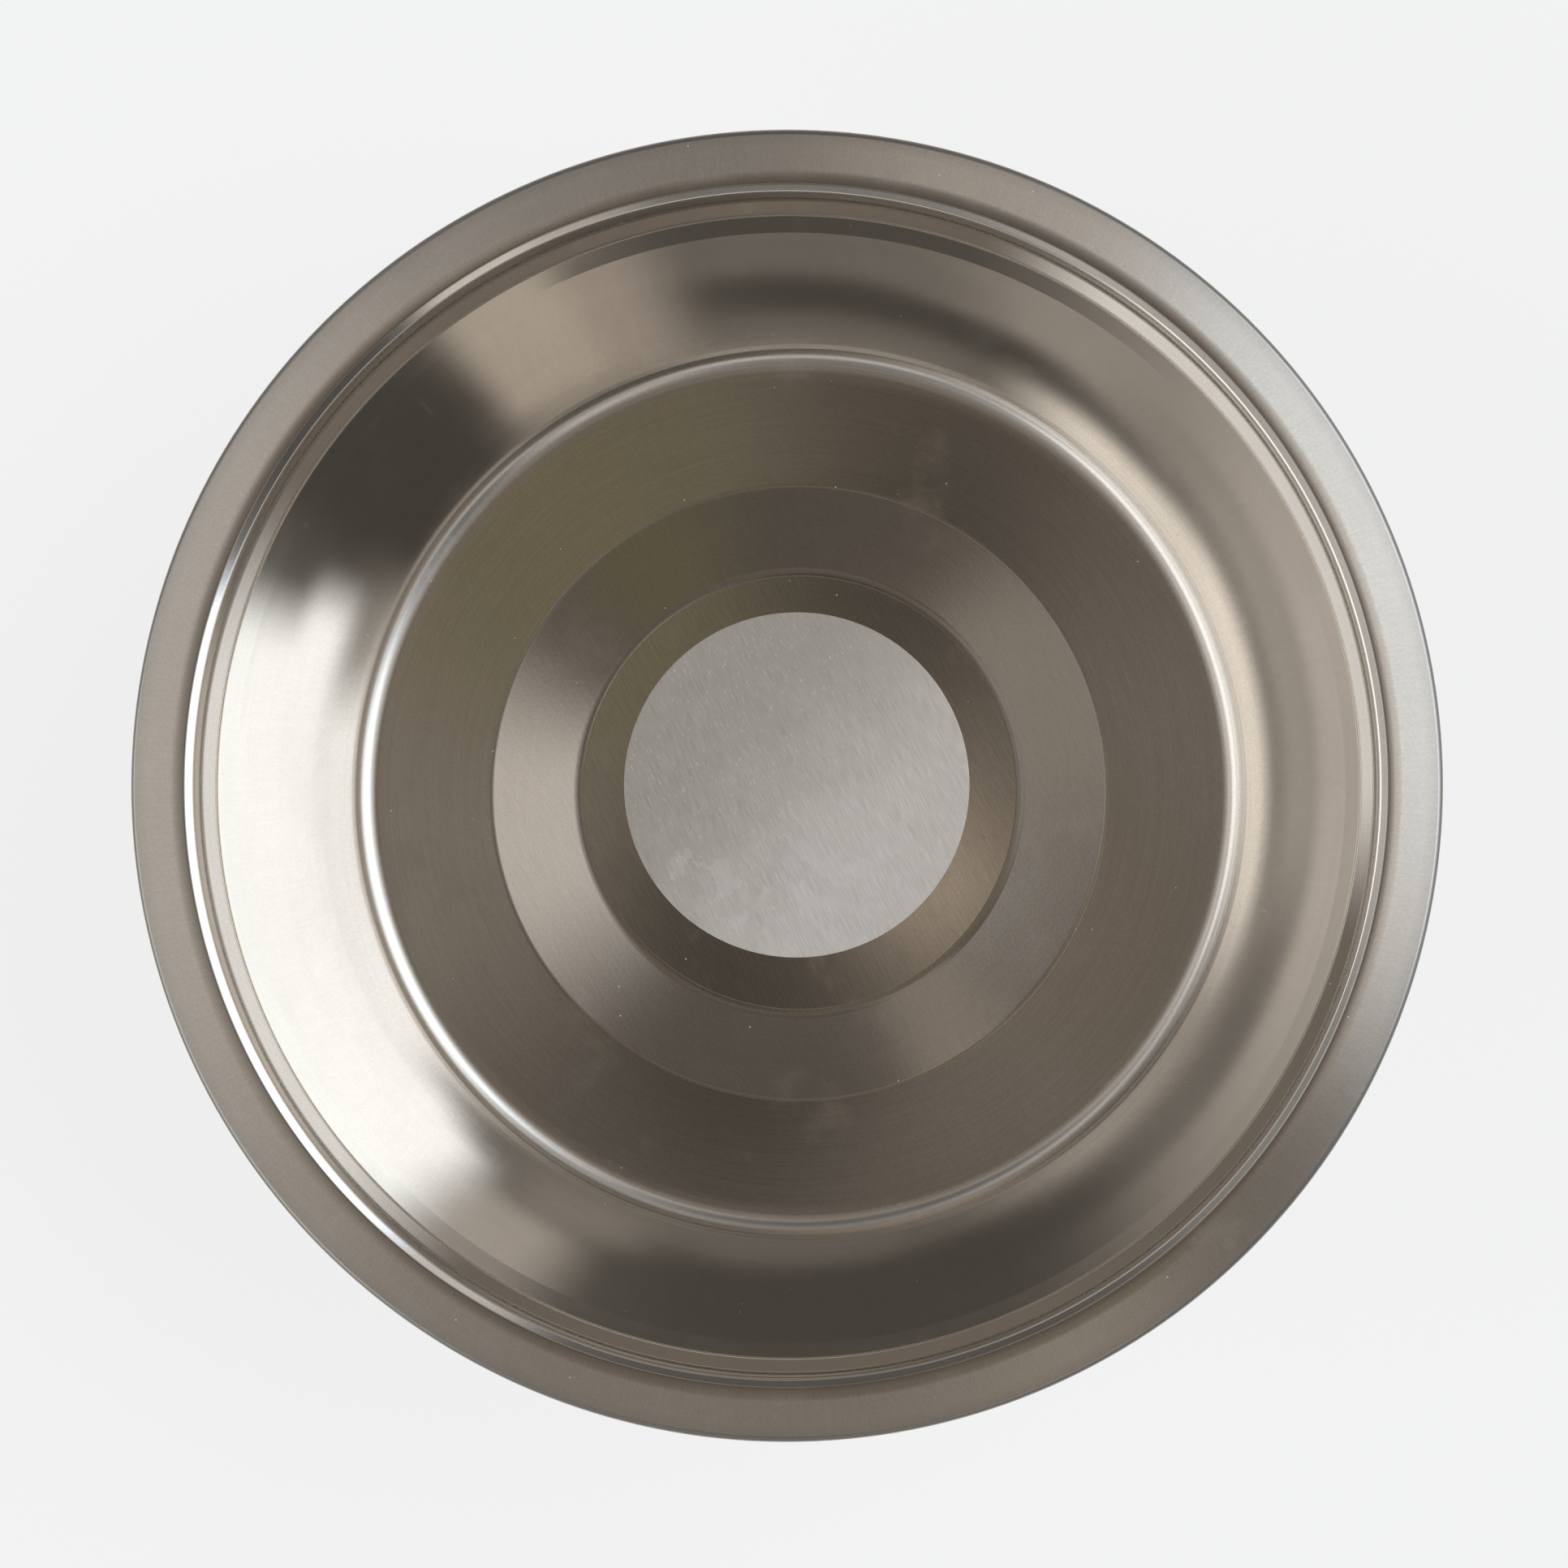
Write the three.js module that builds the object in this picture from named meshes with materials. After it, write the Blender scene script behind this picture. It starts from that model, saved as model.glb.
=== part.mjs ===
// Deep-drawn stainless pet bowl with a round foil label stuck in its sunk centre.
// Millimetres, +Z up. The origin is the centre of the foot, on the surface that the bowl stands on.
import * as THREE from "three";

// Sheet that the bowl is drawn from
const SHEET = 0.6; // thickness

// Widths from the axis outwards, measured on the sheet's upper face
const LABEL_DIAMETER = 45; // round foil label
const LABEL_MARGIN = 6.3; // bare flat ring between the label and the ramp
const RAMP_WIDTH = 11.1; // slope between the sunk centre and the floor
const FLOOR_WIDTH = 17.1; // flat ring of the floor, out to the plane of the wall
const WALL_SPREAD = 11.9; // how far the wall leans out between the floor and the fold
const BAND_SPREAD = 1.4; // how far the band above the fold leans out
const LEDGE_WIDTH = 1.8; // stacking ledge under the neck
const BEVEL_WIDTH = 1.2; // bevel between the inside of the neck and the level crest
const CREST_WIDTH = 0.9; // level crest on top, from the bevel to the brim
const BRIM_WIDTH = 5.8; // sloping brim, from the level crest to the outside of the edge

// Heights from the foot upwards, measured on the sheet's upper face
const WELL_DEPTH = 1.8; // sunk centre below the floor
const WALL_RISE = 33.6; // floor to the fold in the upper wall
const BAND_RISE = 6.3; // fold to the lower end of the ledge
const LEDGE_RISE = 1.7; // lower to upper end of the ledge
const NECK_RISE = 6; // upper end of the ledge to the crest of the brim

// Shape of the wall and the brim
const WALL_BULGE = 1.2; // how far the middle of the wall stands out from a straight cone
const BEVEL_FALL = 22; // degrees that the bevel slopes down towards the neck
const BRIM_FALL = 8; // degrees that the brim slopes down towards its edge
const EDGE_DROP = 2.6; // height of the edge that is turned down from the brim
const EDGE_CURL = 2.2; // how far that edge is curled back under the brim

// Radius of each bend, on its inner side
const WELL_BEND = 7;
const RAMP_BEND = 2.1;
const FLOOR_BEND = 3.2;
const WALL_BEND = 200;
const FOLD_BEND = 2;
const LEDGE_LOWER_BEND = 0.6;
const LEDGE_UPPER_BEND = 0.9;
const NECK_BEND = 0.1;
const CREST_BEND = 0.2;
const BRIM_BEND = 10;
const EDGE_BEND = 0.15;
const CURL_BEND = 0.4;

// Layers of the label
const ADHESIVE = 0.04; // thickness
const FOIL = 0.08; // thickness
const LABEL_OFFSET = { right: -0.3, back: 1 }; // the label is stuck a little off the bowl's axis

// Fineness of the round stretches
const SIDES = 64; // facets round the axis
const CHORD_ERROR = 0.04; // how far a facet may lie inside a bend

// Places that follow from the sizes above
const labelRadius = LABEL_DIAMETER / 2;
const wellRadius = labelRadius + LABEL_MARGIN;
const rampRadius = wellRadius + RAMP_WIDTH;
const floorRadius = rampRadius + FLOOR_WIDTH;
const foldRadius = floorRadius + WALL_SPREAD;
const ledgeRadius = foldRadius + BAND_SPREAD;
const neckRadius = ledgeRadius + LEDGE_WIDTH;
const bevelRadius = neckRadius + BEVEL_WIDTH;
const crestRadius = bevelRadius + CREST_WIDTH;
const outerRadius = crestRadius + BRIM_WIDTH;

const wellLevel = SHEET;
const floorLevel = wellLevel + WELL_DEPTH;
const foldLevel = floorLevel + WALL_RISE;
const ledgeLevel = foldLevel + BAND_RISE;
const neckLevel = ledgeLevel + LEDGE_RISE;
const crestLevel = neckLevel + NECK_RISE;

const steel = new THREE.MeshStandardMaterial({ color: 0xb8b0a4, roughness: 0.2, metalness: 1 });
const foil = new THREE.MeshStandardMaterial({ color: 0xb4b1ac, roughness: 0.45, metalness: 0.9 });
const adhesive = new THREE.MeshStandardMaterial({ color: 0xd9cfa6, roughness: 0.7, metalness: 0 });

// A corner of the sheet's upper face: where two straight runs would meet, and the bend between them.
function corner(radius, height, bend = 0) {
  return { at: new THREE.Vector2(radius, height), bend };
}

// The corners of the sheet's upper face, from the axis out to the end of the curled edge.
function sheetCorners() {
  const neckTop = crestLevel - BEVEL_WIDTH * Math.tan(THREE.MathUtils.degToRad(BEVEL_FALL));
  const edgeTop = crestLevel - BRIM_WIDTH * Math.tan(THREE.MathUtils.degToRad(BRIM_FALL));
  const edgeBottom = edgeTop - EDGE_DROP;

  const wallFoot = new THREE.Vector2(floorRadius, floorLevel);
  const wallHead = new THREE.Vector2(foldRadius, foldLevel);
  const outward = new THREE.Vector2(WALL_RISE, -WALL_SPREAD).normalize();
  const knee = wallFoot.clone().lerp(wallHead, 0.5).addScaledVector(outward, WALL_BULGE);

  return [
    corner(0, wellLevel),
    corner(wellRadius, wellLevel, WELL_BEND),
    corner(rampRadius, floorLevel, RAMP_BEND),
    corner(floorRadius, floorLevel, FLOOR_BEND),
    corner(knee.x, knee.y, WALL_BEND),
    corner(foldRadius, foldLevel, FOLD_BEND),
    corner(ledgeRadius, ledgeLevel, LEDGE_LOWER_BEND),
    corner(neckRadius, neckLevel, LEDGE_UPPER_BEND),
    corner(neckRadius, neckTop, NECK_BEND),
    corner(bevelRadius, crestLevel, CREST_BEND),
    corner(crestRadius, crestLevel, BRIM_BEND),
    corner(outerRadius, edgeTop, EDGE_BEND),
    corner(outerRadius, edgeBottom, CURL_BEND),
    corner(outerRadius - EDGE_CURL, edgeBottom),
  ];
}

// The bend at each corner: its turn, positive to the left, its radius on the upper face, and the length of
// straight run that it takes up on either side.
function sheetBends(corners, runs) {
  const bends = corners.map(({ bend }, i) => {
    const before = runs[i - 1];
    const after = runs[i];
    if (!before || !after) return { turn: 0, radius: 0, reach: 0 };
    const turn = Math.atan2(before.cross(after), before.dot(after));
    const radius = turn < 0 ? bend + SHEET : bend;
    return { turn, radius, reach: radius * Math.tan(Math.abs(turn) / 2) };
  });
  // A bend is no larger than the runs beside it leave room for.
  runs.forEach((run, i) => {
    const taken = bends[i].reach + bends[i + 1].reach;
    const share = Math.min(1, run.length() / taken);
    for (const bend of [bends[i], bends[i + 1]]) {
      bend.radius *= share;
      bend.reach *= share;
    }
  });
  return bends;
}

// Points of the sheet's upper face in order, each with the direction through the sheet to its lower face.
function upperFace(corners) {
  const runs = corners.slice(1).map(({ at }, i) => at.clone().sub(corners[i].at));
  const bends = sheetBends(corners, runs);
  const through = (run) => new THREE.Vector2(run.y, -run.x).normalize();
  const points = [{ at: corners[0].at, down: through(runs[0]) }];

  bends.slice(1, -1).forEach(({ turn, radius, reach }, i) => {
    const before = runs[i];
    const start = corners[i + 1].at.clone().addScaledVector(before.clone().normalize(), -reach);
    const down = through(before);
    const centre = start.clone().addScaledVector(down, -Math.sign(turn) * radius);
    const facet = 2 * Math.acos(1 - Math.min(CHORD_ERROR / radius, 1));
    const steps = Math.max(1, Math.ceil(Math.abs(turn) / facet));
    for (let step = 0; step <= steps; step++) {
      const angle = (turn * step) / steps;
      points.push({
        at: start.clone().rotateAround(centre, angle),
        down: down.clone().rotateAround(new THREE.Vector2(), angle),
      });
    }
  });

  points.push({ at: corners.at(-1).at, down: through(runs.at(-1)) });
  return points;
}

// A closed profile turned about the Z axis.
function turned(profile) {
  return new THREE.LatheGeometry(profile, SIDES).rotateX(Math.PI / 2);
}

// The outline of the sheet: back along its lower face from the axis, then home along its upper face.
function sheetProfile() {
  const upper = upperFace(sheetCorners());
  const lower = upper.map(({ at, down }) => at.clone().addScaledVector(down, SHEET));
  return [...lower, ...upper.map(({ at }) => at).reverse()];
}

// One round layer of the label.
function layerProfile(bottom, thickness) {
  return [
    new THREE.Vector2(0, bottom),
    new THREE.Vector2(labelRadius, bottom),
    new THREE.Vector2(labelRadius, bottom + thickness),
    new THREE.Vector2(0, bottom + thickness),
  ];
}

function piece(name, profile, material) {
  const mesh = new THREE.Mesh(turned(profile), material);
  mesh.name = name;
  return mesh;
}

const label = new THREE.Group();
label.position.set(LABEL_OFFSET.right, LABEL_OFFSET.back, 0);
label.add(piece("label_adhesive", layerProfile(wellLevel, ADHESIVE), adhesive));
label.add(piece("label_foil", layerProfile(wellLevel + ADHESIVE, FOIL), foil));

const bowl = new THREE.Group();
bowl.add(piece("bowl_shell", sheetProfile(), steel));
bowl.add(label);

export default bowl;
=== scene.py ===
"""Looks of a deep-drawn stainless pet bowl with a round foil label stuck in its sunk centre.

The scene is in metres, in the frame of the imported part: +Z runs up the bowl's axis, and the origin is the
centre of the foot. Sizes of the sheet and the label are written in millimetres, heights of surface marks in
micrometres, and both become metres where the meshes and the finishes are made.
"""

import logging
import math
from collections.abc import Callable, Sequence
from dataclasses import dataclass, fields
from enum import Enum

import bpy
from mathutils import Matrix, Vector, noise


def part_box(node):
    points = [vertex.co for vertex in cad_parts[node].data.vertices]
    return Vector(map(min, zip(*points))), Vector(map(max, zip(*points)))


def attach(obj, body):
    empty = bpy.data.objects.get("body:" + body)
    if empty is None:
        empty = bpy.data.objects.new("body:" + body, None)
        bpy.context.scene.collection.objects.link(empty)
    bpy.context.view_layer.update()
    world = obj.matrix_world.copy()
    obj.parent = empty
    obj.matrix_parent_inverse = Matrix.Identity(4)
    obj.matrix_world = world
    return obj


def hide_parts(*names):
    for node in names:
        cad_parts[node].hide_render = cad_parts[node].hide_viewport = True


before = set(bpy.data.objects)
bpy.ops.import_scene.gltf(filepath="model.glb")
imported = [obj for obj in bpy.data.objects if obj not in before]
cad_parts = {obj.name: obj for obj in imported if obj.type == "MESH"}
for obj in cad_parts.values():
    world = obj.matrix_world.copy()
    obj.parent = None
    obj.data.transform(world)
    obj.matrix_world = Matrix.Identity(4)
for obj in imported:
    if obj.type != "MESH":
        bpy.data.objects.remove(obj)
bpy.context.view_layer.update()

log = logging.getLogger("pet_bowl")

MM = 0.001
MICROMETRE = 0.000001
PHOTO_PIXELS = 1932
SHARP_DEGREES = 40.0

Colour = tuple[float, float, float]
Span = tuple[float, float]
Value = float | Sequence[float] | bpy.types.NodeSocket


class Slot(Enum):
    """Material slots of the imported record."""

    STEEL = "stainless"
    GLUE = "adhesive"
    FOIL = "foil"


class Zone(Enum):
    """Stretches of the bowl's sheet, from the axis outwards along its upper face, and its lower face."""

    CENTRE = "sunk centre"
    RAMP = "ramp round the sunk centre"
    FLOOR = "floor ring"
    CORNER = "corner between floor and wall"
    WALL = "wall"
    BAND = "band above the fold"
    LEDGE = "stacking ledge"
    NECK = "neck"
    BEVEL = "bevel above the neck"
    CREST = "level crest"
    BRIM = "brim"
    EDGE = "edge turned down"
    CURL = "curl under the edge"
    UNDERSIDE = "lower face"


@dataclass(frozen=True)
class Polish:
    """How one stretch of the sheet is finished, and how much shade is painted into its colour.

    Attributes:
        roughness: Roughness of the shader.
        spun: Height of the rings left by polishing on a lathe, in micrometres.
        rolled: Height of the straight grain of the rolled sheet, in micrometres.
        radial: Height of the hairlines that run outwards from the axis, in micrometres.
        peel: Height of the fine pebbling of drawn steel, in micrometres.
        shade: Share of the polished steel's colour that it keeps; below one, this paints shade onto the
            stretch.
    """

    roughness: float
    spun: float = 0.0
    rolled: float = 0.0
    radial: float = 0.0
    peel: float = 0.0
    shade: float = 1.0


POLISH: dict[Zone, Polish] = {
    Zone.CENTRE: Polish(0.08, spun=0.03, rolled=0.15, peel=0.10),
    # Painted shade: the ramp's colour is darkened to stand for the darker reflections that it shows.
    Zone.RAMP: Polish(0.08, spun=0.04, rolled=0.08, peel=1.60, shade=0.80),
    Zone.FLOOR: Polish(0.08, spun=0.09, rolled=0.05, peel=0.15),
    Zone.CORNER: Polish(0.24, spun=0.06, peel=0.06),
    Zone.WALL: Polish(0.07, spun=0.03, radial=0.02, peel=0.02),
    Zone.BAND: Polish(0.08, spun=0.06, radial=0.03, peel=0.03),
    Zone.LEDGE: Polish(0.10, spun=0.05, peel=0.03),
    # Painted shade: the neck's colour is darkened into a dark line in the crease between ledge and bevel.
    Zone.NECK: Polish(0.12, spun=0.06, peel=0.03, shade=0.50),
    Zone.BEVEL: Polish(0.09, spun=0.04, peel=0.04),
    # Painted shade: the crest's colour is darkened into a dark band.
    Zone.CREST: Polish(0.14, radial=0.05, peel=0.60, shade=0.65),
    Zone.BRIM: Polish(0.16, rolled=0.03, radial=0.04, peel=0.30),
    # Painted shade: the turned-down edge's colour is darkened into a dark outline, where it reflects dark
    # surroundings.
    Zone.EDGE: Polish(0.32, spun=0.10, peel=0.10, shade=0.38),
    Zone.CURL: Polish(0.22, spun=0.20, peel=0.20),
    Zone.UNDERSIDE: Polish(0.16, spun=0.12, radial=0.03, peel=0.15),
}


@dataclass(frozen=True)
class NoisePattern:
    """Smooth noise of one size.

    Attributes:
        scale: Cells of the noise per unit of length.
        detail: Finer octaves that are added.
        roughness: Share of the finer octaves.
    """

    scale: float = 1.0
    detail: float = 2.0
    roughness: float = 0.5


class NodeSketch:
    """Adds nodes to one node tree and wires them by value."""

    def __init__(self, tree: bpy.types.NodeTree) -> None:
        """Empties the tree and keeps it."""
        self.tree = tree
        self.tree.nodes.clear()

    def feed(self, socket: bpy.types.NodeSocket, value: Value) -> None:
        """Links a socket to another one, or gives it a constant.

        Args:
            socket: The input socket.
            value: The output socket to link, or the constant.
        """
        if isinstance(value, bpy.types.NodeSocket):
            self.tree.links.new(value, socket)
        else:
            socket.default_value = value

    def node(self, kind: str, settings: dict[str, object] | None = None,
             inputs: dict[str | int, Value] | None = None) -> bpy.types.Node:
        """Adds one node.

        Args:
            kind: The node's Blender type.
            settings: Properties of the node.
            inputs: Constants or output sockets by input name or place.

        Returns:
            The new node.
        """
        made = self.tree.nodes.new(kind)
        for name, setting in (settings or {}).items():
            setattr(made, name, setting)
        for key, value in (inputs or {}).items():
            self.feed(made.inputs[key], value)
        return made

    def math(self, operation: str, *values: Value) -> bpy.types.NodeSocket:
        """Works out one number from others, by an operation of the Math node."""
        return self.node("ShaderNodeMath", {"operation": operation}, dict(enumerate(values))).outputs[0]

    def total(self, values: Sequence[Value]) -> bpy.types.NodeSocket:
        """Adds several numbers.

        Args:
            values: Two numbers or more.

        Returns:
            The socket with their sum.
        """
        result = self.math("ADD", values[0], values[1])
        for value in values[2:]:
            result = self.math("ADD", result, value)
        return result

    def vector(self, operation: str, *values: Value) -> bpy.types.NodeSocket:
        """Works out one vector from others, by an operation of the Vector Math node."""
        return self.node("ShaderNodeVectorMath", {"operation": operation}, dict(enumerate(values))).outputs[0]

    def scaled(self, vector: Value, factor: float) -> bpy.types.NodeSocket:
        """Multiplies a vector by a number."""
        made = self.node("ShaderNodeVectorMath", {"operation": "SCALE"}, {0: vector, "Scale": factor})
        return made.outputs[0]

    def combined(self, x: Value, y: Value, z: Value) -> bpy.types.NodeSocket:
        """Makes a vector of three numbers."""
        return self.node("ShaderNodeCombineXYZ", None, {"X": x, "Y": y, "Z": z}).outputs[0]

    def attribute(self, name: str) -> bpy.types.NodeSocket:
        """Reads a number that is stored with the mesh under a name."""
        return self.node("ShaderNodeAttribute", {"attribute_name": name}).outputs["Fac"]

    def place(self) -> bpy.types.NodeSocket:
        """Gives the place on the piece, in mm."""
        return self.scaled(self.node("ShaderNodeTexCoord").outputs["Object"], 1 / MM)

    def along_grain(self, place: Value, turn: float, cells: Sequence[float]) -> bpy.types.NodeSocket:
        """Lays out noise in cells that are stretched along a straight grain.

        Args:
            place: Place on the piece, in mm.
            turn: Degrees that the grain is turned from +Y towards -X.
            cells: Cells per mm across the grain, along it and upright.

        Returns:
            The socket with the place to read the noise at.
        """
        turned = self.node("ShaderNodeVectorRotate", {"rotation_type": "Z_AXIS"}, {
            "Vector": place, "Angle": math.radians(-turn)}).outputs[0]
        return self.vector("MULTIPLY", turned, cells)

    def noise(self, vector: Value, pattern: NoisePattern) -> bpy.types.NodeSocket:
        """Adds smooth noise about zero.

        Args:
            vector: Where the noise is read.
            pattern: Its scale and detail.

        Returns:
            The socket with values of about -0.5 to 0.5.
        """
        made = self.node("ShaderNodeTexNoise", None, {
            "Vector": vector,
            "Scale": pattern.scale,
            "Detail": pattern.detail,
            "Roughness": pattern.roughness,
        })
        return self.math("SUBTRACT", made.outputs["Fac"], 0.5)

    def ramp(self, value: Value, start: float, end: float, low: float = 0.0,
             high: float = 1.0) -> bpy.types.NodeSocket:
        """Fades smoothly from one number to another.

        Args:
            value: The number that the fade follows.
            start: Where the fade starts.
            end: Where it ends.
            low: Result before the start.
            high: Result after the end.

        Returns:
            The socket with the result.
        """
        made = self.node("ShaderNodeMapRange", {"interpolation_type": "SMOOTHSTEP"}, {
            "Value": value, "From Min": start, "From Max": end, "To Min": low, "To Max": high})
        return made.outputs["Result"]

    def blend(self, factor: Value, first: Value, second: Value) -> bpy.types.NodeSocket:
        """Mixes two colours.

        Args:
            factor: Share of the second colour.
            first: First colour.
            second: Second colour.

        Returns:
            The socket with the mix.
        """
        made = self.node("ShaderNodeMix", {"data_type": "RGBA"}, {"Factor": factor})
        for socket_name, value in (("A", first), ("B", second)):
            colour_socket = next(s for s in made.inputs if s.name == socket_name and s.type == "RGBA")
            self.feed(colour_socket, value)
        return next(s for s in made.outputs if s.type == "RGBA")

    def bump(self, height: Value) -> bpy.types.NodeSocket:
        """Turns heights in micrometres into a bumped normal."""
        return self.node("ShaderNodeBump", None, {
            "Strength": 1.0, "Distance": MICROMETRE, "Height": height}).outputs["Normal"]

    def metal(self, colour: Value, roughness: Value, normal: Value) -> None:
        """Ends a metal's tree with its shader and output.

        Args:
            colour: Base colour.
            roughness: Roughness.
            normal: Bumped normal.
        """
        shader = self.node("ShaderNodeBsdfPrincipled", None, {
            "Base Color": colour, "Metallic": 1.0, "Roughness": roughness, "Normal": normal})
        self.node("ShaderNodeOutputMaterial", None, {"Surface": shader.outputs["BSDF"]})


def opaque(colour: Colour) -> tuple[float, float, float, float]:
    """Gives a colour an alpha of one."""
    return (*colour, 1.0)


def new_material(name: str) -> tuple[bpy.types.Material, NodeSketch]:
    """Starts a material.

    Args:
        name: Name of the material.

    Returns:
        The material, and a sketch on its empty node tree.
    """
    material = bpy.data.materials.new(name)
    material.use_nodes = True
    return material, NodeSketch(material.node_tree)


@dataclass(frozen=True)
class SteelFinish:
    """Bare stainless steel with polishing marks, grain, scratches, smudges and dust, and with shade painted
    into its colour on some stretches.

    A span is the value at which a fade starts and the value at which it ends.

    Attributes:
        colour: Reflectance of the steel.
        cloud_share: Share of that reflectance that is left in a darker cloud.
        cloud_noise: Noise of the clouds.
        cloud_span: Noise over which the steel fades into a cloud.
        ring_noise: Noise of the polishing rings.
        rings_across: Cells of the rings per mm along the sheet.
        rings_round: Cells of the rings per radian round the axis.
        grain_noise: Noise of the rolled grain.
        grain_cells: Cells of the grain per mm across it, along it and upright.
        grain_turn: Degrees that the grain is turned from +Y towards -X.
        hairline_noise: Noise of the hairlines.
        hairlines_round: Cells of the hairlines per radian round the axis.
        hairlines_along: Cells of the hairlines per mm along the sheet.
        peel_noise: Noise of the pebbling.
        mark_height: Height at which a mark is palest, in micrometres.
        mark_contrast: How much paler or darker a mark is at most.
        grit_noise: Noise of the fine grit of the surface.
        grit_span: Noise over which the grit goes from dark to pale.
        grit_contrast: How much paler or darker the grit is.
        scratch_noise: Noise of the scratches.
        scratches_round: Cells of the scratches per radian round the axis.
        scratches_along: Cells of the scratches per mm along the sheet.
        scratch_span: Noise over which a scratch gets its depth.
        scratch_depth: Depth of a scratch, in micrometres.
        smudge_noise: Noise of the smudges.
        smudge_span: Noise over which a smudge gets its strength.
        smudge: Roughness that a smudge adds.
        dust_cells: Places for a speck of dust per mm.
        dust_span: Distance over which a speck ends, in cells.
        dust_pick: Random number over which a place gets its speck.
        dust_colour: Colour of a speck of dust.
        dust_roughness: Roughness that a speck adds.
    """

    colour: Colour = (0.67, 0.62, 0.56)
    cloud_share: float = 0.965
    cloud_noise: NoisePattern = NoisePattern(0.05, 3.0)
    cloud_span: Span = (-0.2, 0.2)
    ring_noise: NoisePattern = NoisePattern(1.0, 3.0, 0.7)
    rings_across: float = 3.2
    rings_round: float = 2.4
    grain_noise: NoisePattern = NoisePattern(1.0, 3.0, 0.6)
    grain_cells: Sequence[float] = (4.0, 0.22, 0.0)
    grain_turn: float = 27.0
    hairline_noise: NoisePattern = NoisePattern(1.0, 2.0, 0.6)
    hairlines_round: float = 260.0
    hairlines_along: float = 0.25
    peel_noise: NoisePattern = NoisePattern(2.2)
    mark_height: float = 0.06
    mark_contrast: float = 0.12
    grit_noise: NoisePattern = NoisePattern(3.6, 2.0, 0.7)
    grit_span: Span = (-0.25, 0.25)
    grit_contrast: float = 0.05
    scratch_noise: NoisePattern = NoisePattern(1.0, 1.0)
    scratches_round: float = 95.0
    scratches_along: float = 0.10
    scratch_span: Span = (0.27, 0.31)
    scratch_depth: float = 0.6
    smudge_noise: NoisePattern = NoisePattern(0.09, 4.0, 0.6)
    smudge_span: Span = (0.02, 0.25)
    smudge: float = 0.05
    dust_cells: float = 0.36
    dust_span: Span = (0.018, 0.045)
    dust_pick: Span = (0.45, 0.70)
    dust_colour: Colour = (0.86, 0.85, 0.82)
    dust_roughness: float = 0.6

    def material(self) -> bpy.types.Material:
        """Makes the material, which reads the polish and the painted shade stored with the mesh.

        Returns:
            The material.
        """
        material, sketch = new_material("stainless_steel")
        place = sketch.place()
        travel = sketch.attribute("travel")
        outward = sketch.vector("NORMALIZE", sketch.vector("MULTIPLY", place, (1.0, 1.0, 0.0)))

        marks = sketch.total([
            self.rings(sketch, outward, travel),
            self.grain(sketch, place),
            self.hairlines(sketch, outward, travel),
        ])
        peel = sketch.math("MULTIPLY", sketch.noise(place, self.peel_noise), sketch.attribute("peel"))
        height = sketch.total([marks, peel, self.scratches(sketch, outward, travel)])

        clouds = sketch.ramp(sketch.noise(place, self.cloud_noise), *self.cloud_span)
        dark_colour = tuple(self.cloud_share * channel for channel in self.colour)
        tint = sketch.blend(clouds, opaque(self.colour), opaque(dark_colour))
        gleam = sketch.ramp(marks, -self.mark_height, self.mark_height,
                            1 - self.mark_contrast, 1 + self.mark_contrast)
        grit = sketch.ramp(sketch.noise(place, self.grit_noise), *self.grit_span,
                           1 - self.grit_contrast, 1 + self.grit_contrast)
        # Painted shade: the stored shade share darkens the steel's colour on the ramp, neck, crest and
        # turned-down edge.
        brightness = sketch.math("MULTIPLY", sketch.attribute("shade"), sketch.math("MULTIPLY", gleam, grit))
        shaded = sketch.vector("MULTIPLY", tint, brightness)

        smudges = sketch.ramp(sketch.noise(place, self.smudge_noise), *self.smudge_span, 0.0, self.smudge)
        roughness = sketch.math("ADD", sketch.attribute("roughness"), smudges)
        dust = self.dust(sketch, place)
        colour = sketch.blend(dust, shaded, opaque(self.dust_colour))
        roughness = sketch.math("ADD", roughness, sketch.math("MULTIPLY", dust, self.dust_roughness))
        sketch.metal(colour, roughness, sketch.bump(height))
        return material

    def rings(self, sketch: NodeSketch, outward: Value, travel: Value) -> bpy.types.NodeSocket:
        """Rings round the axis, each fading in and out along its length.

        Args:
            sketch: Tree of the material.
            outward: Direction from the axis.
            travel: Distance along the sheet, in mm.

        Returns:
            The socket with the height.
        """
        split = sketch.node("ShaderNodeSeparateXYZ", None, {0: outward}).outputs
        across = sketch.math("MULTIPLY", travel, self.rings_across)
        around = [sketch.math("MULTIPLY", split[axis], self.rings_round) for axis in ("X", "Y")]
        where = sketch.combined(across, *around)
        return sketch.math("MULTIPLY", sketch.noise(where, self.ring_noise), sketch.attribute("spun"))

    def grain(self, sketch: NodeSketch, place: Value) -> bpy.types.NodeSocket:
        """Straight grain of the rolled sheet.

        Args:
            sketch: Tree of the material.
            place: Place on the bowl, in mm.

        Returns:
            The socket with the height.
        """
        where = sketch.along_grain(place, self.grain_turn, self.grain_cells)
        return sketch.math("MULTIPLY", sketch.noise(where, self.grain_noise), sketch.attribute("rolled"))

    def hairlines(self, sketch: NodeSketch, outward: Value, travel: Value) -> bpy.types.NodeSocket:
        """Fine lines that run outwards from the axis.

        Args:
            sketch: Tree of the material.
            outward: Direction from the axis.
            travel: Distance along the sheet, in mm.

        Returns:
            The socket with the height.
        """
        where = self.spokes(sketch, outward, travel, self.hairlines_round, self.hairlines_along)
        return sketch.math("MULTIPLY", sketch.noise(where, self.hairline_noise), sketch.attribute("radial"))

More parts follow.
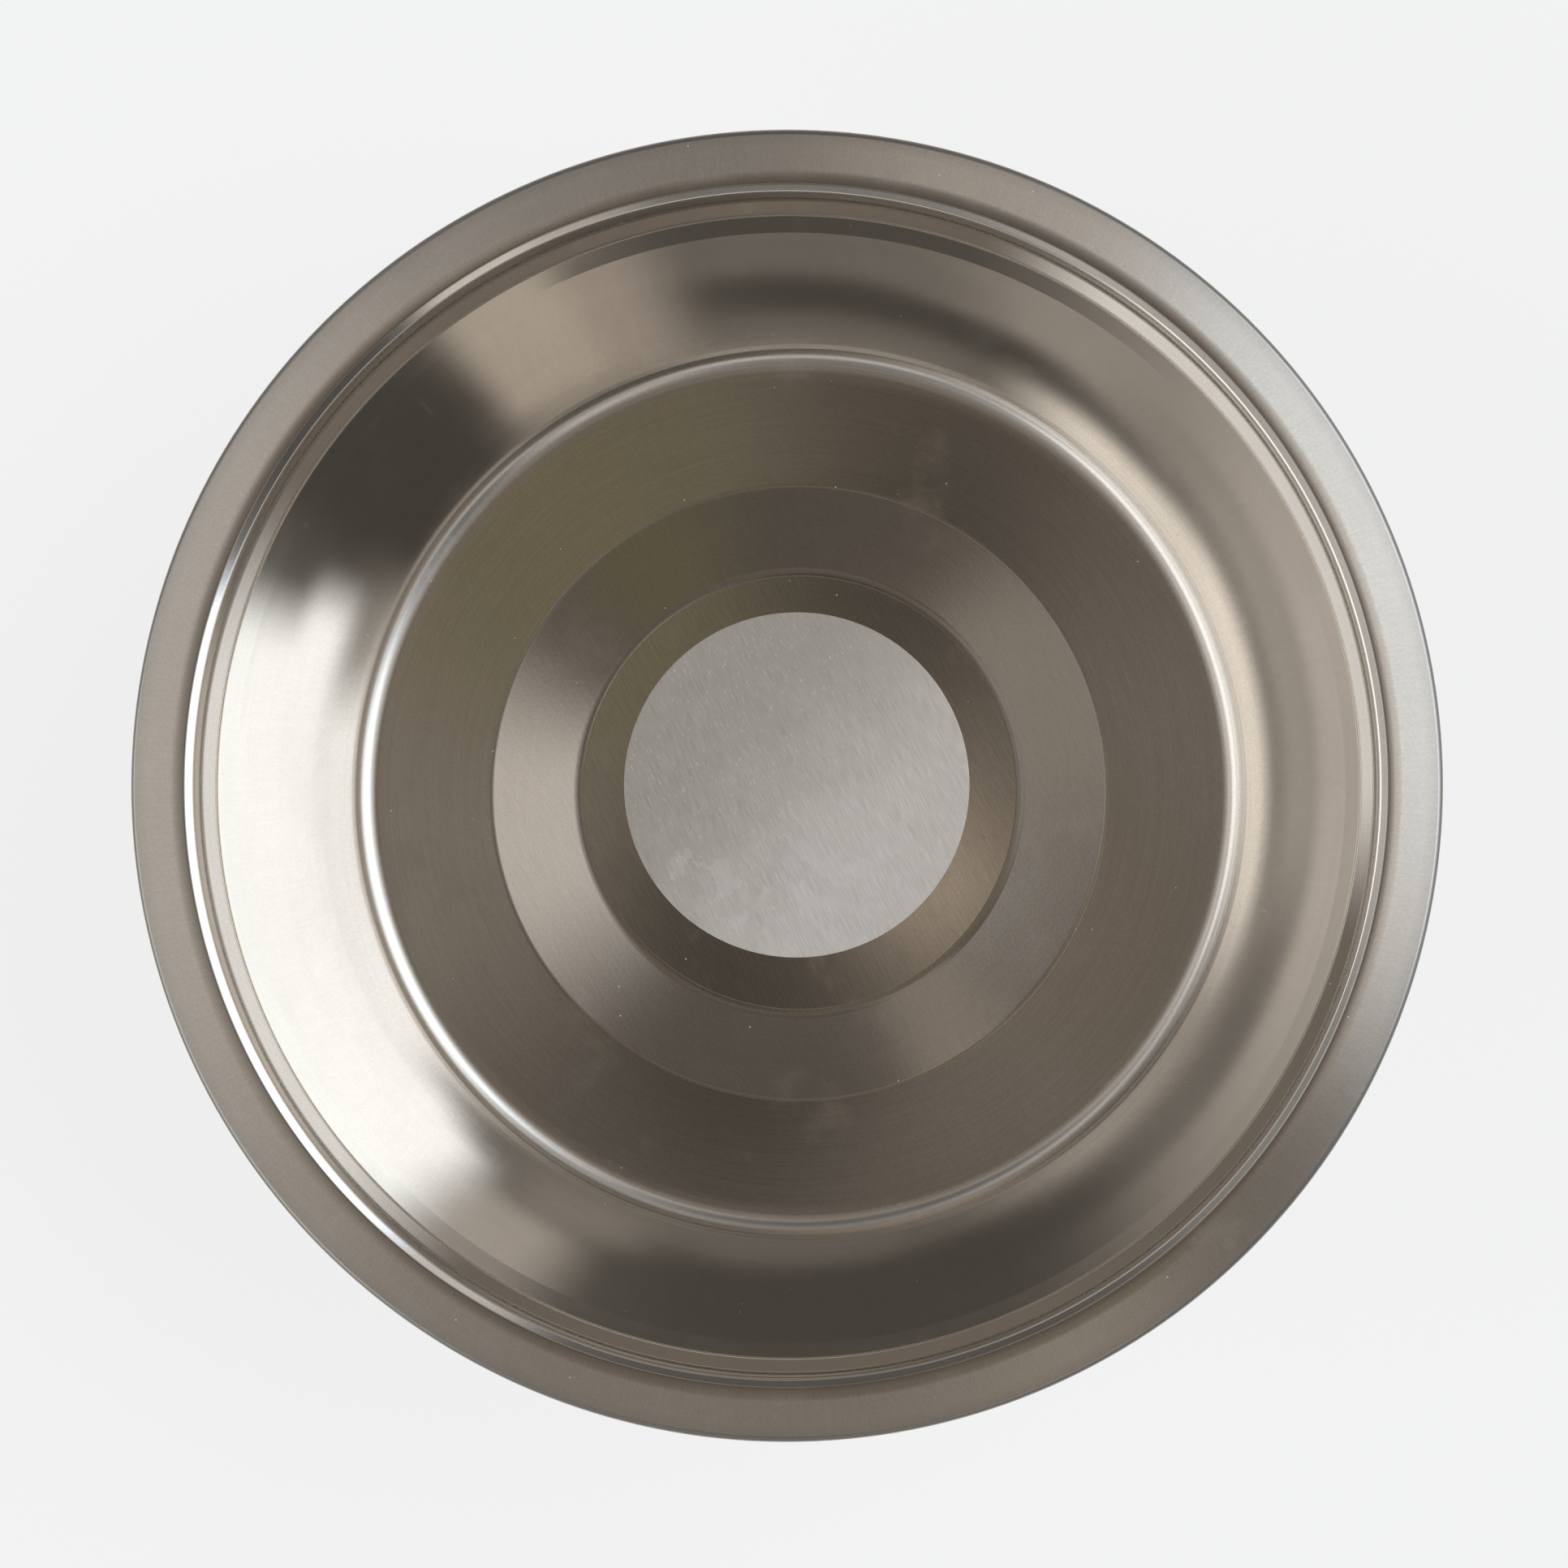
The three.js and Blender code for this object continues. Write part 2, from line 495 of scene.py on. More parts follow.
    def scratches(self, sketch: NodeSketch, outward: Value, travel: Value) -> bpy.types.NodeSocket:
        """A few short scratches that run outwards from the axis.

        Args:
            sketch: Tree of the material.
            outward: Direction from the axis.
            travel: Distance along the sheet, in mm.

        Returns:
            The socket with the height.
        """
        where = self.spokes(sketch, outward, travel, self.scratches_round, self.scratches_along)
        lines = sketch.noise(where, self.scratch_noise)
        return sketch.ramp(lines, *self.scratch_span, 0.0, -self.scratch_depth)

    def spokes(self, sketch: NodeSketch, outward: Value, travel: Value, around: float,
               along: float) -> bpy.types.NodeSocket:
        """Lays out noise in narrow cells that run outwards from the axis.

        Args:
            sketch: Tree of the material.
            outward: Direction from the axis.
            travel: Distance along the sheet, in mm.
            around: Cells per radian round the axis.
            along: Cells per mm along the sheet.

        Returns:
            The socket with the place to read the noise at.
        """
        lengthwise = sketch.combined(0.0, 0.0, sketch.math("MULTIPLY", travel, along))
        return sketch.vector("ADD", sketch.scaled(outward, around), lengthwise)

    def dust(self, sketch: NodeSketch, place: Value) -> bpy.types.NodeSocket:
        """Specks of dust, few and far between.

        Args:
            sketch: Tree of the material.
            place: Place on the bowl, in mm.

        Returns:
            The socket with the share of dust.
        """
        cells = sketch.node("ShaderNodeTexVoronoi", None, {"Vector": place, "Scale": self.dust_cells}).outputs
        picked = sketch.node("ShaderNodeSeparateColor", None, {"Color": cells["Color"]}).outputs[0]
        speck = sketch.ramp(cells["Distance"], *self.dust_span, 1.0, 0.0)
        return sketch.math("MULTIPLY", speck, sketch.ramp(picked, *self.dust_pick))


@dataclass(frozen=True)
class FoilFinish:
    """Matt aluminium foil with straight grain, bright dashes, shade painted across one side and patches of
    dried glue.

    A span is the value at which a fade starts and the value at which it ends.

    Attributes:
        colour: Reflectance of the foil towards +X and -Y, where the painted shade ends.
        shaded_side_colour: Reflectance towards -X and +Y, a painted shade.
        dash_colour: Reflectance of the dashes.
        patch_colour: Reflectance of the patches.
        roughness: Roughness of the shader.
        grain_turn: Degrees that the grain is turned from +Y towards -X.
        grain_cells: Cells of the grain per mm across it, along it and upright.
        grain_noise: Noise of the grain.
        grain_height: Height of the grain, in micrometres.
        grain_contrast: How much darker the grain is at most.
        gleam_span: Noise over which the grain goes from dark to pale.
        streak: Roughness that the grain adds or takes away.
        streak_span: Noise over which the grain goes from smooth to rough.
        dash_cells: Cells of the dashes per mm across the grain, along it and upright.
        dash_noise: Noise of the dashes.
        dash_span: Noise over which a dash gets its strength.
        dash_cover: Share of its own colour that a dash shows.
        patch_noise: Noise of the patches.
        patch_span: Noise over which a patch gets its strength.
        patch_cover: Share of its own colour that a patch shows.
        patch_place: Distances behind the centre over which the patches end, in mm.
        smudge_noise: Noise that shifts the border of the painted shade.
        painted_shade_reach: Distance from the centre at which the painted shade is darkest or gone, in mm.
    """

    colour: Colour = (0.98, 0.925, 0.855)
    shaded_side_colour: Colour = (0.69, 0.64, 0.57)
    dash_colour: Colour = (1.0, 0.98, 0.95)
    patch_colour: Colour = (0.99, 0.96, 0.92)
    roughness: float = 0.50
    grain_turn: float = 27.0
    grain_cells: Sequence[float] = (6.0, 0.30, 0.0)
    grain_noise: NoisePattern = NoisePattern(1.0, 3.0, 0.65)
    grain_height: float = 1.6
    grain_contrast: float = 0.16
    gleam_span: Span = (-0.22, 0.22)
    streak: float = 0.06
    streak_span: Span = (-0.2, 0.2)
    dash_cells: Sequence[float] = (6.5, 0.9, 0.0)
    dash_noise: NoisePattern = NoisePattern(1.0, 1.0)
    dash_span: Span = (0.16, 0.25)
    dash_cover: float = 0.7
    patch_noise: NoisePattern = NoisePattern(0.26, 3.0, 0.55)
    patch_span: Span = (0.035, 0.05)
    patch_cover: float = 0.25
    patch_place: Span = (-9.0, -5.0)
    smudge_noise: NoisePattern = NoisePattern(0.12, 4.0, 0.55)
    painted_shade_reach: float = 20.0

    def material(self) -> bpy.types.Material:
        """Makes the material.

        Returns:
            The material.
        """
        material, sketch = new_material("label_foil")
        place = sketch.place()
        split = sketch.node("ShaderNodeSeparateXYZ", None, {0: place}).outputs
        grain = sketch.noise(sketch.along_grain(place, self.grain_turn, self.grain_cells), self.grain_noise)
        flecks = sketch.noise(sketch.along_grain(place, self.grain_turn, self.dash_cells), self.dash_noise)
        dashes = sketch.ramp(flecks, *self.dash_span)
        patches = sketch.math(
            "MULTIPLY",
            sketch.ramp(sketch.noise(place, self.patch_noise), *self.patch_span),
            sketch.ramp(split["Y"], *self.patch_place, 1.0, 0.0))
        # Painted shade: the foil's colour darkens towards -X and +Y, with a border shifted by noise.
        smudges = sketch.math("MULTIPLY", sketch.noise(place, self.smudge_noise), self.painted_shade_reach)
        forwards = sketch.math("MULTIPLY", split["Y"], -1.0)
        across = sketch.total([split["X"], forwards, smudges])
        lit_side_share = sketch.ramp(across, -self.painted_shade_reach, self.painted_shade_reach)

        colour = sketch.blend(lit_side_share, opaque(self.shaded_side_colour), opaque(self.colour))
        gleam = sketch.ramp(grain, *self.gleam_span, 1 - self.grain_contrast, 1.0)
        colour = sketch.vector("MULTIPLY", colour, gleam)
        for marks, cover, mark_colour in ((patches, self.patch_cover, self.patch_colour),
                                          (dashes, self.dash_cover, self.dash_colour)):
            colour = sketch.blend(sketch.math("MULTIPLY", marks, cover), colour, opaque(mark_colour))
        roughness = sketch.ramp(grain, *self.streak_span, self.roughness - self.streak,
                                self.roughness + self.streak)
        height = sketch.math("MULTIPLY", sketch.math("ADD", grain, dashes), self.grain_height)
        sketch.metal(colour, roughness, sketch.bump(height))
        return material


@dataclass(frozen=True)
class GlueFinish:
    """Clear tacky film of pressure-sensitive adhesive.

    Attributes:
        colour: Colour of the film.
        dark_share: Share of that colour that is left in its darker spots.
        mottle_noise: Noise of the spots.
        mottle_span: Noise over which the film fades into a darker spot.
        roughness: Roughness of the shader.
    """

    colour: Colour = (0.70, 0.64, 0.45)
    dark_share: float = 0.85
    mottle_noise: NoisePattern = NoisePattern(1.2, 3.0)
    mottle_span: Span = (-0.2, 0.2)
    roughness: float = 0.55

    def material(self) -> bpy.types.Material:
        """Makes the material.

        Returns:
            The material.
        """
        material, sketch = new_material("label_adhesive")
        mottle = sketch.noise(sketch.place(), self.mottle_noise)
        dark_colour = tuple(self.dark_share * channel for channel in self.colour)
        spots = sketch.ramp(mottle, *self.mottle_span)
        colour = sketch.blend(spots, opaque(self.colour), opaque(dark_colour))
        shader = sketch.node("ShaderNodeBsdfPrincipled", None, {
            "Base Color": colour, "Roughness": self.roughness, "Normal": sketch.bump(mottle)})
        sketch.node("ShaderNodeOutputMaterial", None, {"Surface": shader.outputs["BSDF"]})
        return material


@dataclass(frozen=True)
class SheetCorner:
    """Where two straight runs of the sheet's upper face would meet.

    Attributes:
        radius: Distance from the axis, in mm.
        height: Height above the foot, in mm.
        zone: Stretch that starts here.
        bend: Radius of the bend on its inner side, in mm.
        carry: Share of the bend that keeps the polish of the stretch before it.
        bend_zone: Stretch that the whole bend makes up, where it has a polish of its own.
    """

    radius: float
    height: float
    zone: Zone
    bend: float = 0.0
    carry: float = 0.5
    bend_zone: Zone | None = None

    @property
    def at(self) -> Vector:
        """The corner as a point of the profile."""
        return Vector((self.radius, self.height))


@dataclass
class Bend:
    """The rounding of one corner.

    Attributes:
        turn: Angle of the bend, positive to the left, in radians.
        radius: Radius on the upper face, in mm.
        reach: Length of straight run that it takes up on either side, in mm.
    """

    turn: float = 0.0
    radius: float = 0.0
    reach: float = 0.0


@dataclass
class Station:
    """A point of the sheet's upper face.

    Attributes:
        at: Radius and height, in mm.
        down: Direction through the sheet to its lower face.
        zone: Stretch that it belongs to.
    """

    at: Vector
    down: Vector
    zone: Zone


def through_sheet(run: Vector) -> Vector:
    """Gives the direction through the sheet along a run of its upper face."""
    return Vector((run.y, -run.x)).normalized()


@dataclass
class SheetProfile:
    """The line of the sheet's upper face, with its bends as arcs.

    Attributes:
        corners: Corners from the axis outwards.
        thickness: Thickness of the sheet, in mm.
        arc_step: Largest turn between stations of a bend, in degrees.
        run_step: Largest distance between stations, in mm.
        guard: Distance from a bend to the first station of a run, in mm.
    """

    corners: list[SheetCorner]
    thickness: float
    arc_step: float = 5.0
    run_step: float = 1.6
    guard: float = 0.12

    def bends(self, runs: Sequence[Vector]) -> list[Bend]:
        """Works out the rounding of each corner.

        Args:
            runs: Straight runs between the corners.

        Returns:
            One bend for each corner, empty at both ends.
        """
        bends = [Bend()]
        for before, after, corner in zip(runs, runs[1:], self.corners[1:]):
            turn = math.atan2(before.cross(after), before.dot(after))
            radius = corner.bend + (self.thickness if turn < 0 else 0.0)
            bends.append(Bend(turn, radius, radius * math.tan(abs(turn) / 2)))
        return [*bends, Bend()]

    def run_stations(self, start: Vector, end: Vector, down: Vector, zone: Zone) -> list[Station]:
        """Places stations along a straight run, without its two ends.

        Args:
            start: Where the run starts.
            end: Where it ends.
            down: Direction through the sheet.
            zone: Stretch that the run belongs to.

        Returns:
            The stations in order.
        """
        length = (end - start).length
        if length < 3 * self.guard:
            return []
        inner = length - 2 * self.guard
        steps = max(1, math.ceil(inner / self.run_step))
        shares = [(self.guard + inner * step / steps) / length for step in range(steps + 1)]
        return [Station(start.lerp(end, share), down, zone) for share in shares]

    def arc_stations(self, start: Vector, down: Vector, bend: Bend, before: Zone,
                     corner: SheetCorner) -> list[Station]:
        """Places stations along a bend, with its two ends.

        Args:
            start: Where the bend starts.
            down: Direction through the sheet there.
            bend: The bend.
            before: Stretch before the bend.
            corner: Corner that the bend rounds.

        Returns:
            The stations in order.
        """
        centre = start - down * math.copysign(bend.radius, bend.turn)
        by_turn = math.degrees(abs(bend.turn)) / self.arc_step
        by_length = abs(bend.turn) * bend.radius / self.run_step
        steps = max(2, math.ceil(max(by_turn, by_length)))
        stations = []
        for step in range(steps + 1):
            spin = Matrix.Rotation(bend.turn * step / steps, 2)
            zone = before if step < corner.carry * steps else corner.zone
            stations.append(Station(centre + spin @ (start - centre), spin @ down, corner.bend_zone or zone))
        return stations

    def stations(self) -> list[Station]:
        """Walks the upper face from the axis outwards.

        Returns:
            The stations in order.
        """
        runs = [after.at - before.at for before, after in zip(self.corners, self.corners[1:])]
        bends = self.bends(runs)
        first, last = self.corners[0], self.corners[-1]
        stations = [Station(first.at, through_sheet(runs[0]), first.zone)]
        for place, run in enumerate(runs):
            zone = self.corners[place].zone
            end_bend = bends[place + 1]
            end = self.corners[place + 1].at - run.normalized() * end_bend.reach
            down = through_sheet(run)
            stations += self.run_stations(stations[-1].at, end, down, zone)
            if end_bend.turn:
                stations += self.arc_stations(end, down, end_bend, zone, self.corners[place + 1])
        stations.append(Station(last.at, through_sheet(runs[-1]), last.zone))
        return stations


def directions_round(sides: int) -> list[tuple[float, float]]:
    """Lists evenly spaced directions round the Z axis, as a cosine and a sine each."""
    angles = [2 * math.pi * side / sides for side in range(sides)]
    return [(math.cos(angle), math.sin(angle)) for angle in angles]


def turned_mesh(name: str, profile: Sequence[Vector], sides: int) -> bpy.types.Mesh:
    """Turns a profile about the Z axis into a closed mesh.

    Args:
        name: Name of the mesh.
        profile: Points in metres that start on the axis, pass outwards below and come back to the axis above.
        sides: Facets round the axis.

    Returns:
        The mesh. Its vertices are the first pole, the rings in order and the last pole.
    """
    rings = profile[1:-1]
    spokes = directions_round(sides)
    vertices = [(0.0, 0.0, profile[0].y)]
    vertices += [(point.x * cosine, point.x * sine, point.y) for point in rings for cosine, sine in spokes]
    vertices.append((0.0, 0.0, profile[-1].y))

    def at(ring: int, spoke: int) -> int:
        """Gives the number of a vertex."""
        return 1 + ring * sides + spoke % sides

    outermost = len(rings) - 1
    end_pole = len(vertices) - 1
    faces: list[tuple[int, ...]] = [(0, at(0, j + 1), at(0, j)) for j in range(sides)]
    faces += [(at(k, j), at(k, j + 1), at(k + 1, j + 1), at(k + 1, j))
              for k in range(outermost) for j in range(sides)]
    faces += [(at(outermost, j), at(outermost, j + 1), end_pole) for j in range(sides)]
    mesh = bpy.data.meshes.new(name)
    mesh.from_pydata(vertices, [], faces)
    mesh.shade_smooth()
    mesh.set_sharp_from_angle(angle=math.radians(SHARP_DEGREES))
    return mesh


def store_turned(mesh: bpy.types.Mesh, name: str, values: Sequence[float], sides: int) -> None:
    """Stores one number for each point of the profile with a turned mesh.

    Args:
        mesh: A mesh made by turned_mesh.
        name: Name of the attribute.
        values: A number for each point of its profile.
        sides: Facets round the axis.
    """
    spread = [values[0]]
    spread += [value for value in values[1:-1] for _ in range(sides)]
    spread.append(values[-1])
    mesh.attributes.new(name, "FLOAT", "POINT").data.foreach_set("value", spread)


def softened(values: Sequence[float], places: Sequence[float], reach: float) -> list[float]:
    """Averages numbers along a line, so that they change gradually.

    Args:
        values: The numbers.
        places: Where each one stands on the line.
        reach: How far the average looks either way.

    Returns:
        The averaged numbers.
    """
    result = []
    for place in places:
        weights = [max(0.0, 1 - abs(other - place) / reach) for other in places]
        result.append(sum(w * v for w, v in zip(weights, values)) / sum(weights))
    return result


def add_piece(name: str, mesh: bpy.types.Mesh, material: bpy.types.Material) -> None:
    """Puts a mesh into the scene in place of the CAD node of its name.

    Args:
        name: Name of the CAD node.
        mesh: The mesh, in place.
        material: Its finish.
    """
    piece = bpy.data.objects.new(f"{name}_dressed", mesh)
    bpy.context.scene.collection.objects.link(piece)
    mesh.materials.append(material)
    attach(piece, "root")
    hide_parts(name)
    log.info("%s: %d faces, %s", piece.name, len(mesh.polygons), material.name)


@dataclass
class BowlShell:
    """The bowl, drawn from one round sheet. Sizes are in mm, and those of the profile lie on its upper face.

    Attributes:
        sheet: Thickness of the sheet.
        well_radius: Sunk centre.
        ramp_radius: Outer end of the ramp.
        floor_radius: Outer end of the floor, in the plane of the wall.
        fold_radius: Fold in the upper wall.
        ledge_radius: Lower end of the stacking ledge.
        neck_radius: Inside of the neck.
        bevel_radius: Outer end of the bevel above the neck.
        crest_radius: Outer end of the level crest.
        outer_radius: Outside of the edge.
        well_depth: Sunk centre below the floor.
        fold_rise: Floor to fold.
        ledge_rise: Floor to the lower end of the ledge.
        neck_rise: Floor to the upper end of the ledge.
        crest_rise: Floor to the crest of the brim.
        wall_bulge: How far the middle of the wall stands out from a straight cone.
        bevel_fall: Degrees that the bevel slopes down towards the neck.
        brim_fall: Degrees that the brim slopes down towards its edge.
        edge_drop: Height of the edge that is turned down.
        edge_curl: How far that edge is curled back under the brim.
        well_bend: Bend from the sunk centre to the ramp. Each bend is the radius on its inner side.
        ramp_bend: Bend from the ramp to the floor.
        floor_bend: Bend from the floor to the wall.
        wall_bend: Bend in the middle of the bulging wall.
        fold_bend: Bend of the fold in the upper wall.
        ledge_bend: Bend at the lower end of the ledge.
        neck_bend: Bend from the ledge to the neck.
        bevel_bend: Bend from the neck to the bevel.
        crest_bend: Bend from the bevel to the crest.
        brim_bend: Bend from the crest to the brim.
        edge_bend: Bend from the brim to its edge.
        curl_bend: Bend from the edge to the curl.
        polish_fade: Distance over which one polish gives way to the next.
        sides: Facets round the axis.
    """

    sheet: float = 0.6
    well_radius: float = 28.8
    ramp_radius: float = 39.9
    floor_radius: float = 57.0
    fold_radius: float = 68.9
    ledge_radius: float = 70.3
    neck_radius: float = 72.1
    bevel_radius: float = 73.3
    crest_radius: float = 74.2
    outer_radius: float = 80.0
    well_depth: float = 1.8
    fold_rise: float = 33.6
    ledge_rise: float = 39.9
    neck_rise: float = 41.6
    crest_rise: float = 47.6
    wall_bulge: float = 1.2
    bevel_fall: float = 22.0
    brim_fall: float = 8.0
    edge_drop: float = 2.6
    edge_curl: float = 2.2
    well_bend: float = 7.0
    ramp_bend: float = 2.1
    floor_bend: float = 3.2
    wall_bend: float = 200.0
    fold_bend: float = 2.0
    ledge_bend: float = 0.6
    neck_bend: float = 0.9
    bevel_bend: float = 0.1
    crest_bend: float = 0.2
    brim_bend: float = 10.0
    edge_bend: float = 0.15
    curl_bend: float = 0.4
    polish_fade: float = 0.35
    sides: int = 256

    @property
    def floor_level(self) -> float:
        """Height of the floor's upper face above the foot."""
        return self.sheet + self.well_depth

    def wall_knee(self) -> Vector:
        """Finds the corner that gives the wall its bulge.

        Returns:
            Radius and height in mm.
        """
        foot = Vector((self.floor_radius, self.floor_level))
        fold = Vector((self.fold_radius, self.floor_level + self.fold_rise))
        return foot.lerp(fold, 0.5) + through_sheet(fold - foot) * self.wall_bulge

    def corners(self) -> list[SheetCorner]:
        """Lists the corners of the sheet's upper face.

        Returns:
            The corners from the axis outwards.
        """
        floor = self.floor_level
        knee = self.wall_knee()
        crest = floor + self.crest_rise
        neck_top = crest - (self.bevel_radius - self.neck_radius) * math.tan(math.radians(self.bevel_fall))
        edge_top = crest - (self.outer_radius - self.crest_radius) * math.tan(math.radians(self.brim_fall))
        edge_bottom = edge_top - self.edge_drop
        return [
            SheetCorner(0.0, self.sheet, Zone.CENTRE),
            SheetCorner(self.well_radius, self.sheet, Zone.RAMP, self.well_bend),
            SheetCorner(self.ramp_radius, floor, Zone.FLOOR, self.ramp_bend),
            SheetCorner(self.floor_radius, floor, Zone.WALL, self.floor_bend, bend_zone=Zone.CORNER),
            SheetCorner(knee.x, knee.y, Zone.WALL, self.wall_bend),
            SheetCorner(self.fold_radius, floor + self.fold_rise, Zone.BAND, self.fold_bend),
            SheetCorner(self.ledge_radius, floor + self.ledge_rise, Zone.LEDGE, self.ledge_bend),
            SheetCorner(self.neck_radius, floor + self.neck_rise, Zone.NECK, self.neck_bend, carry=0.3),
            SheetCorner(self.neck_radius, neck_top, Zone.BEVEL, self.bevel_bend),
            SheetCorner(self.bevel_radius, crest, Zone.CREST, self.crest_bend),
            SheetCorner(self.crest_radius, crest, Zone.BRIM, self.brim_bend),
            SheetCorner(self.outer_radius, edge_top, Zone.EDGE, self.edge_bend, carry=0.1),
            SheetCorner(self.outer_radius, edge_bottom, Zone.CURL, self.curl_bend),
            SheetCorner(self.outer_radius - self.edge_curl, edge_bottom, Zone.CURL),
        ]

    def mesh(self) -> bpy.types.Mesh:
        """Turns both faces of the sheet into one closed mesh and stores the polish and the painted shade with
        it.

        Returns:
            The mesh.
        """
        stations = SheetProfile(self.corners(), self.sheet).stations()
        upper = [station.at for station in stations]
        lower = [station.at + station.down * self.sheet for station in stations]
        travel = [0.0]
        for before, after in zip(upper, upper[1:]):
            travel.append(travel[-1] + (after - before).length)

        mesh = turned_mesh("bowl_shell", [p * MM for p in (*lower, *reversed(upper))], self.sides)
        store_turned(mesh, "travel", [*travel, *reversed(travel)], self.sides)
        beneath = POLISH[Zone.UNDERSIDE]
        for mark in fields(Polish):
            above = [getattr(POLISH[station.zone], mark.name) for station in stations]
            above = softened(above, travel, self.polish_fade)
            below = [getattr(beneath, mark.name)] * len(stations)
            store_turned(mesh, mark.name, [*below, *reversed(above)], self.sides)
        return mesh

    def build(self) -> None:
        """Builds and dresses the bowl."""
        add_piece("bowl_shell", self.mesh(), SteelFinish().material())


@dataclass(frozen=True)
class Blister:
    """A shallow swelling of the foil over trapped air or a lump of glue. Sizes are in mm.

    Attributes:
        right: Place to the right of the label's centre.
        back: Place behind the label's centre.
        radius: Radius of the swelling.
        height: Its height.
    """

    right: float
    back: float
    radius: float
    height: float

    def height_at(self, place: Vector) -> float:
        """Gives the swelling's height at a place that is measured from the label's centre."""
        share = (place - Vector((self.right, self.back))).length / self.radius
        return self.height * (1 - share * share) ** 2 if share < 1 else 0.0


@dataclass
class Label:
    """The round foil label and the adhesive under it. Sizes are in mm, and its place is the CAD node's.

    Attributes:
        blisters: Swellings of the foil.
        ripple: Height of the foil's gentle unevenness.
        ripple_length: Length of that unevenness.
        flat_share: Share of the radius beyond which the foil lies flat.
        edge_round: Rounding of the foil's upper edge.
        edge_steps: Facets of that rounding.
        glue_gap: How far the adhesive's edge lies inside the foil's at most.
        glue_waves: Waves of the adhesive's edge per radian.
        rings: Rings of facets between the centre and the edge.
        sides: Facets round the axis.
    """

    blisters: tuple[Blister, ...] = (
        Blister(-3.0, -10.5, 3.6, 0.030),
        Blister(2.5, -12.5, 2.8, 0.024),
        Blister(6.5, -10.0, 2.4, 0.020),
        Blister(-8.0, -13.0, 2.2, 0.018),
        Blister(0.5, -16.5, 2.6, 0.020),
        Blister(-13.5, 6.0, 2.0, 0.012),
    )
    ripple: float = 0.006
    ripple_length: float = 6.0
    flat_share: float = 0.97
    edge_round: float = 0.05
    edge_steps: int = 4
    glue_gap: float = 0.3
    glue_waves: float = 6.0
    rings: int = 54
    sides: int = 192

    def relief(self, place: Vector) -> float:
        """Gives the foil's unevenness at a place that is measured from the label's centre."""
        wave = noise.noise(Vector((place.x, place.y, 0.0)) / self.ripple_length)
        return self.ripple * wave + sum(blister.height_at(place) for blister in self.blisters)

    def disc(self, node: str, edge: Callable[[float], float], profile: Sequence[tuple[float, float]],
             relief: Callable[[Vector], float] | None = None) -> bpy.types.Mesh:
        """Makes a thin round layer in the place of a CAD node.

        Args:
            node: The CAD node.
            edge: Radius in mm for an angle in radians.
            profile: Shares of the radius and of the thickness, from below the centre to above it.
            relief: Unevenness of the upper face.

        Returns:
            The mesh.
        """
        low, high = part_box(node)
        centre = (low + high) / 2
        bottom, thickness = low.z / MM, (high.z - low.z) / MM
        mesh = turned_mesh(node, [Vector((share, level)) for share, level in profile], self.sides)
        for vertex in mesh.vertices:
            share = vertex.co.xy.length
            angle = math.atan2(vertex.co.y, vertex.co.x)
            place = vertex.co.xy * edge(angle)
            level = bottom + thickness * vertex.co.z
            if relief and vertex.co.z > 0.5 and share < self.flat_share:
                level += relief(place)
            vertex.co = Vector((centre.x + place.x * MM, centre.y + place.y * MM, level * MM))
        return mesh

    def foil_profile(self, radius: float, thickness: float) -> list[tuple[float, float]]:
        """Lists the foil's outline with a rounded upper edge.

        Args:
            radius: Radius of the foil, in mm.
            thickness: Thickness of the foil, in mm.

        Returns:
            Shares of the radius and the thickness, from below the centre to above it.
        """
        outline = [(0.0, 0.0), (1.0, 0.0)]
        for step in range(self.edge_steps + 1):
            angle = math.radians(90 * step / self.edge_steps)
            inset = self.edge_round * (1 - math.cos(angle)) / radius
            drop = self.edge_round * (1 - math.sin(angle)) / thickness
            outline.append((1 - inset, 1 - drop))
        inner = 1 - 2 * self.edge_round / radius
        outline += [(inner * (self.rings - ring) / self.rings, 1.0) for ring in range(self.rings)]
        return [*outline, (0.0, 1.0)]

    def build(self) -> None:
        """Builds and dresses the adhesive and the foil."""
        low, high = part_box("label_foil")
        radius, thickness = (high.x - low.x) / 2 / MM, (high.z - low.z) / MM

        def glue_edge(angle: float) -> float:
            """Gives the uneven radius of the adhesive."""
            wave = noise.noise(Vector((math.cos(angle), math.sin(angle), 0.0)) * self.glue_waves)
            return radius - self.glue_gap * (0.5 + 0.5 * wave)

        glue = self.disc("label_adhesive", glue_edge, [(0.0, 0.0), (1.0, 0.0), (1.0, 1.0), (0.0, 1.0)])
        outline = self.foil_profile(radius, thickness)
        foil = self.disc("label_foil", lambda angle: radius, outline, self.relief)
        add_piece("label_adhesive", glue, GlueFinish().material())
        add_piece("label_foil", foil, FoilFinish().material())


